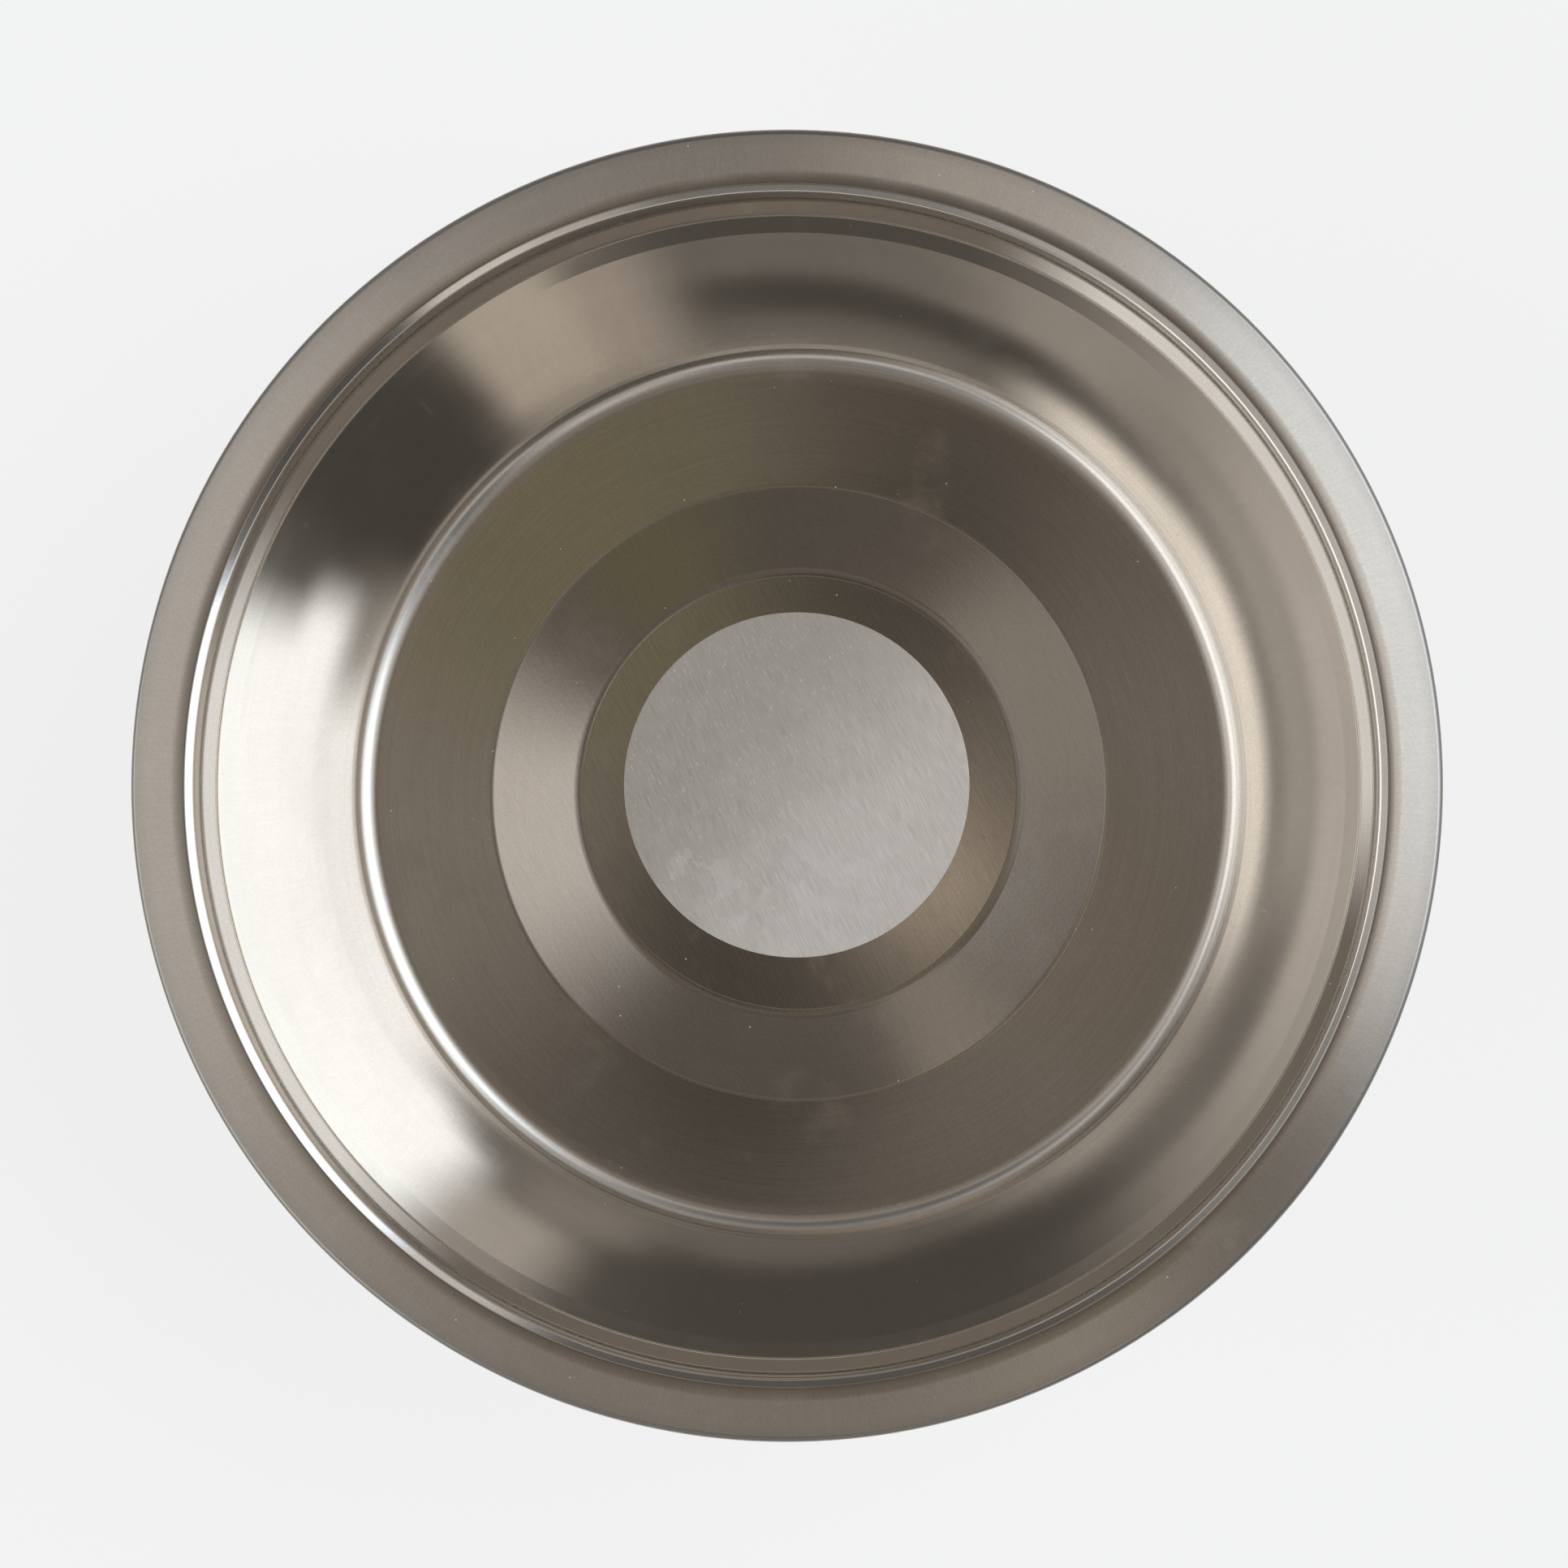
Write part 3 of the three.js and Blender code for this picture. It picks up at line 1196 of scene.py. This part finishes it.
@dataclass(frozen=True)
class FloorFinish:
    """Pale studio floor that reads as paper white and still takes the bowl's shadow.

    Attributes:
        colour: Colour that lit places show.
        glow: Brightness that the camera and the metal see.
        glow_share: Share of that brightness, against light that falls on the floor.
    """

    colour: Colour = (0.86, 0.86, 0.86)
    glow: float = 0.955
    glow_share: float = 0.82

    def material(self) -> bpy.types.Material:
        """Makes the material.

        Returns:
            The material.
        """
        material, sketch = new_material("studio_floor")
        lit = sketch.node("ShaderNodeBsdfDiffuse", None, {"Color": opaque(self.colour)})
        shown = sketch.node("ShaderNodeEmission", None, {"Color": opaque((self.glow,) * 3), "Strength": 1.0})
        path = sketch.node("ShaderNodeLightPath").outputs
        seen = sketch.math("MAXIMUM", path["Is Camera Ray"],
                           sketch.math("MAXIMUM", path["Is Glossy Ray"], path["Is Transmission Ray"]))
        share = sketch.math("MULTIPLY", seen, self.glow_share)
        mixed = sketch.node("ShaderNodeMixShader", None, {
            0: share, 1: lit.outputs["BSDF"], 2: shown.outputs["Emission"]})
        sketch.node("ShaderNodeOutputMaterial", None, {"Surface": mixed.outputs["Shader"]})
        return material


@dataclass(frozen=True)
class SoftPanel:
    """A soft-edged card or lamp of the studio, as seen from the bowl. Angles are in degrees.

    Attributes:
        azimuth: Middle of the panel, from +X towards +Y.
        half_width: Half its width in azimuth.
        polar: Middle of the panel, from straight up.
        half_height: Half its height.
        soft_sides: Width of its soft edge at either side.
        soft_ends: Width of its soft edge at the top and the bottom.
        light: Colour and brightness.
    """

    azimuth: float
    half_width: float
    polar: float
    half_height: float
    soft_sides: float
    soft_ends: float
    light: Colour

    def over(self, sketch: NodeSketch, behind: Value, azimuth: Value, polar: Value) -> bpy.types.NodeSocket:
        """Lays the panel over what is behind it.

        Args:
            sketch: Tree of the world.
            behind: What is behind.
            azimuth: Azimuth of the direction that is looked along, in degrees.
            polar: Its angle from straight up, in degrees.

        Returns:
            The socket with the colour.
        """
        sideways = sketch.math("WRAP", sketch.math("SUBTRACT", azimuth, self.azimuth), 180.0, -180.0)
        upright = sketch.math("SUBTRACT", polar, self.polar)
        cover = []
        for offset, half, soft in ((sideways, self.half_width, self.soft_sides),
                                   (upright, self.half_height, self.soft_ends)):
            distance = sketch.math("ABSOLUTE", offset)
            cover.append(sketch.ramp(distance, half - soft / 2, half + soft / 2, 1.0, 0.0))
        return sketch.blend(sketch.math("MULTIPLY", *cover), behind, opaque(self.light))


def grey(brightness: float, warmth: float = 0.0) -> Colour:
    """Makes a grey light, in which red stands above blue by a share, the warmth."""
    return (brightness * (1 + warmth / 2), brightness, brightness * (1 - warmth / 2))


@dataclass
class Studio:
    """Floor, surroundings and camera. Sizes and places are in metres.

    Attributes:
        floor_radius: Radius of the floor.
        floor_sides: Corners of its outline.
        floor_gap: How far the floor lies below the foot.
        surroundings: Brightness of the bare surroundings at angles from straight up, in degrees.
        panels: Cards and lamps, the ones further back first.
        camera_place: Where the camera stands.
        camera_target: What it looks at.
        camera_up: Direction that is upright in its picture.
        sensor: Width of the camera's sensor, in mm.
        brim_pixels: Radius of the bowl's outline in the photograph, in pixels.
        brim_distance: Distance from the camera to the brim along its axis.
        brim_radius: Radius of the brim.
    """

    floor_radius: float = 3.0
    floor_sides: int = 96
    floor_gap: float = 0.00005
    surroundings: tuple[tuple[float, Colour], ...] = (
        (0.0, grey(0.18, 0.35)),
        (3.0, grey(0.145, 0.25)),
        (10.0, grey(0.165, 0.30)),
        (16.0, grey(0.15, 0.32)),
        (20.0, grey(0.25, 0.18)),
        (26.0, grey(0.28, 0.12)),
        (29.0, grey(0.19)),
        (40.0, grey(0.18)),
        (46.0, grey(0.16)),
        (50.0, grey(0.27)),
        (56.0, grey(0.35)),
        (66.0, grey(0.43)),
        (74.0, grey(0.34, 0.20)),
        (79.0, grey(0.17, 0.30)),
        (90.0, grey(0.20, 0.20)),
    )
    panels: tuple[SoftPanel, ...] = (
        # Pale cards at the right, from the horizon up to near the top
        SoftPanel(13.0, 34.0, 66.0, 12.0, 26.0, 8.0, grey(1.50, -0.10)),
        SoftPanel(16.0, 34.0, 82.0, 6.0, 20.0, 6.0, grey(1.08, -0.05)),
        SoftPanel(12.0, 36.0, 9.0, 3.0, 40.0, 4.0, grey(0.40, 0.05)),
        SoftPanel(14.0, 30.0, 13.5, 3.0, 40.0, 4.0, grey(0.82, 0.10)),
        SoftPanel(12.0, 38.0, 17.5, 2.0, 46.0, 3.0, grey(0.78)),
        SoftPanel(24.0, 40.0, 23.0, 4.5, 48.0, 3.0, grey(1.14, -0.12)),
        SoftPanel(76.0, 14.0, 23.0, 4.0, 14.0, 4.0, grey(0.50, 0.14)),
        # Pale cards at the left
        SoftPanel(166.0, 42.0, 23.0, 4.0, 60.0, 4.0, grey(0.57, 0.06)),
        SoftPanel(181.0, 40.0, 33.0, 5.5, 60.0, 3.0, grey(0.88)),
        SoftPanel(186.0, 38.0, 41.5, 3.5, 50.0, 5.0, grey(0.66)),
        SoftPanel(150.0, 14.0, 41.5, 3.0, 24.0, 4.0, grey(0.29)),
        SoftPanel(236.0, 14.0, 39.0, 5.5, 22.0, 4.0, grey(0.58)),
        SoftPanel(146.0, 26.0, 53.0, 7.0, 24.0, 6.0, grey(0.66)),
        SoftPanel(206.0, 34.0, 81.0, 6.0, 16.0, 5.0, grey(0.95)),
        SoftPanel(266.0, 20.0, 63.0, 8.0, 16.0, 6.0, grey(0.72)),
        # Broad lamp at the left
        SoftPanel(186.0, 27.0, 53.6, 6.6, 22.0, 3.0, grey(1.80, -0.04)),
        SoftPanel(219.0, 16.0, 54.2, 5.7, 18.0, 3.0, grey(1.70, -0.04)),
        SoftPanel(199.0, 31.0, 67.0, 9.0, 20.0, 4.0, grey(1.72, -0.04)),
        # Dark cards behind and in front
        SoftPanel(100.0, 26.0, 37.0, 10.0, 24.0, 4.0, grey(0.125)),
        SoftPanel(95.0, 14.0, 60.0, 12.0, 14.0, 6.0, grey(0.28)),
        SoftPanel(254.0, 22.0, 46.0, 2.5, 20.0, 3.0, grey(0.12)),
        SoftPanel(264.0, 24.0, 32.0, 2.5, 20.0, 3.0, grey(0.13)),
        SoftPanel(262.0, 18.0, 39.5, 3.0, 20.0, 3.0, grey(0.30)),
        # Pale post at the front right with a dark gap beside it
        SoftPanel(293.0, 11.0, 44.0, 10.0, 12.0, 5.0, grey(0.62, 0.08)),
        SoftPanel(299.0, 7.0, 40.0, 12.0, 6.0, 4.0, grey(0.79, 0.08)),
        SoftPanel(320.0, 12.0, 42.0, 14.0, 10.0, 4.0, grey(0.11)),
        SoftPanel(320.0, 14.0, 20.0, 4.0, 12.0, 5.0, grey(0.16, 0.20)),
        SoftPanel(294.0, 10.0, 20.5, 3.0, 14.0, 4.0, grey(0.36, 0.20)),
        SoftPanel(325.0, 20.0, 64.0, 5.0, 20.0, 5.0, grey(0.66)),
        # Bright lamp at the right with a dimmer strip beside it
        SoftPanel(61.0, 7.0, 37.5, 7.0, 10.0, 5.0, grey(0.72)),
        SoftPanel(66.0, 8.0, 48.0, 3.0, 10.0, 4.0, grey(0.42)),
        SoftPanel(17.5, 35.5, 38.0, 10.0, 10.0, 3.0, (2.15, 2.42, 2.76)),
        SoftPanel(13.0, 35.0, 47.0, 3.5, 10.0, 4.0, (2.15, 2.42, 2.76)),
        SoftPanel(15.0, 26.0, 53.5, 4.0, 14.0, 4.0, (1.96, 2.20, 2.50)),
        # Overhead
        SoftPanel(186.0, 28.0, 12.0, 4.0, 30.0, 4.0, grey(0.36, 0.10)),
        SoftPanel(199.0, 27.0, 17.5, 2.0, 30.0, 3.0, grey(0.35, 0.20)),
        SoftPanel(292.0, 22.0, 14.0, 3.5, 26.0, 4.0, (0.18, 0.165, 0.11)),
        SoftPanel(126.0, 9.0, 16.0, 6.0, 10.0, 5.0, grey(0.33, 0.25)),
        SoftPanel(90.0, 24.0, 15.0, 3.5, 24.0, 4.0, grey(0.13, 0.20)),
        SoftPanel(250.0, 30.0, 14.5, 2.0, 30.0, 3.0, grey(0.125, 0.25)),
        SoftPanel(98.0, 14.0, 5.0, 2.0, 16.0, 2.5, grey(0.09, 0.30)),
        SoftPanel(218.0, 20.0, 4.0, 2.0, 20.0, 2.5, grey(0.11, 0.20)),
        SoftPanel(150.0, 30.0, 5.5, 3.0, 30.0, 4.0, (0.20, 0.18, 0.12)),
        SoftPanel(174.0, 14.0, 7.0, 3.0, 20.0, 3.0, grey(0.25, 0.20)),
        SoftPanel(196.0, 32.0, 2.8, 1.3, 30.0, 1.0, grey(0.05, 0.20)),
        SoftPanel(112.0, 20.0, 3.4, 1.1, 16.0, 1.0, grey(0.06, 0.20)),
        SoftPanel(45.0, 35.0, 2.6, 0.8, 40.0, 1.0, grey(0.19, 0.20)),
        SoftPanel(268.0, 30.0, 1.9, 0.8, 40.0, 1.0, grey(0.19, 0.20)),
        SoftPanel(156.0, 34.0, 0.8, 0.6, 30.0, 0.8, grey(0.70, 0.35)),
    )
    camera_place: tuple[float, float, float] = (0.028, -0.016, 0.75)
    camera_target: tuple[float, float, float] = (0.0, 0.0, 0.049)
    camera_up: tuple[float, float, float] = (0.0, 1.0, 0.0)
    sensor: float = 36.0
    brim_pixels: float = 811.2
    brim_distance: float = 0.70
    brim_radius: float = 0.08

    def build(self) -> None:
        """Builds the floor, the surroundings and the camera."""
        self.build_floor()
        self.build_surroundings()
        self.build_camera()

    def build_floor(self) -> None:
        """Lays the floor just below the foot."""
        radius, level = self.floor_radius, -self.floor_gap
        rim = [(radius * cosine, radius * sine, level) for cosine, sine in directions_round(self.floor_sides)]
        mesh = bpy.data.meshes.new("studio_floor")
        mesh.from_pydata(rim, [], [tuple(range(self.floor_sides))])
        mesh.materials.append(FloorFinish().material())
        floor = bpy.data.objects.new("studio_floor", mesh)
        bpy.context.scene.collection.objects.link(floor)
        log.info("studio floor: %.1f m across", 2 * self.floor_radius)

    def build_surroundings(self) -> None:
        """Makes the world of soft panels."""
        world = bpy.data.worlds.new("studio")
        bpy.context.scene.world = world
        world.use_nodes = True
        sketch = NodeSketch(world.node_tree)
        direction = sketch.node("ShaderNodeTexCoord").outputs["Generated"]
        split = sketch.node("ShaderNodeSeparateXYZ", None, {0: direction}).outputs
        azimuth = sketch.math("DEGREES", sketch.math("ARCTAN2", split["Y"], split["X"]))
        polar = sketch.math("DEGREES", sketch.math("ARCCOSINE", split["Z"]))
        light = self.bare_surroundings(sketch, polar)
        for panel in self.panels:
            light = panel.over(sketch, light, azimuth, polar)
        background = sketch.node("ShaderNodeBackground", None, {"Color": light, "Strength": 1.0})
        sketch.node("ShaderNodeOutputWorld", None, {"Surface": background.outputs["Background"]})
        log.info("surroundings: %d soft panels", len(self.panels))

    def bare_surroundings(self, sketch: NodeSketch, polar: Value) -> bpy.types.NodeSocket:
        """Fades the bare surroundings from overhead to the horizon.

        Args:
            sketch: Tree of the world.
            polar: Angle from straight up, in degrees.

        Returns:
            The socket with the colour.
        """
        half_turn = 180.0
        fade = sketch.node("ShaderNodeValToRGB", None, {"Fac": sketch.math("DIVIDE", polar, half_turn)})
        stops = fade.color_ramp.elements
        while len(stops) < len(self.surroundings):
            stops.new(0.5)
        for stop, (angle, colour) in zip(stops, self.surroundings):
            stop.position = angle / half_turn
            stop.color = opaque(colour)
        return fade.outputs["Color"]

    def build_camera(self) -> None:
        """Sets the camera where the photograph was taken from."""
        data = bpy.data.cameras.new("camera")
        data.sensor_width = self.sensor
        data.lens = self.sensor * self.brim_pixels * self.brim_distance / self.brim_radius / PHOTO_PIXELS
        camera = bpy.data.objects.new("camera", data)
        camera.location = self.camera_place
        backwards = (Vector(self.camera_place) - Vector(self.camera_target)).normalized()
        right = Vector(self.camera_up).cross(backwards).normalized()
        camera.rotation_mode = "QUATERNION"
        axes = Matrix((right, backwards.cross(right), backwards)).transposed()
        camera.rotation_quaternion = axes.to_quaternion()
        bpy.context.scene.collection.objects.link(camera)
        bpy.context.scene.camera = camera
        log.info("camera: lens %.1f mm", data.lens)


def main() -> None:
    """Builds the bowl, its label and the studio."""
    logging.basicConfig(level=logging.INFO, format="%(name)s: %(message)s")
    bpy.context.scene.view_settings.view_transform = "Standard"
    BowlShell().build()
    Label().build()
    Studio().build()


if __name__ == "__main__":
    main()
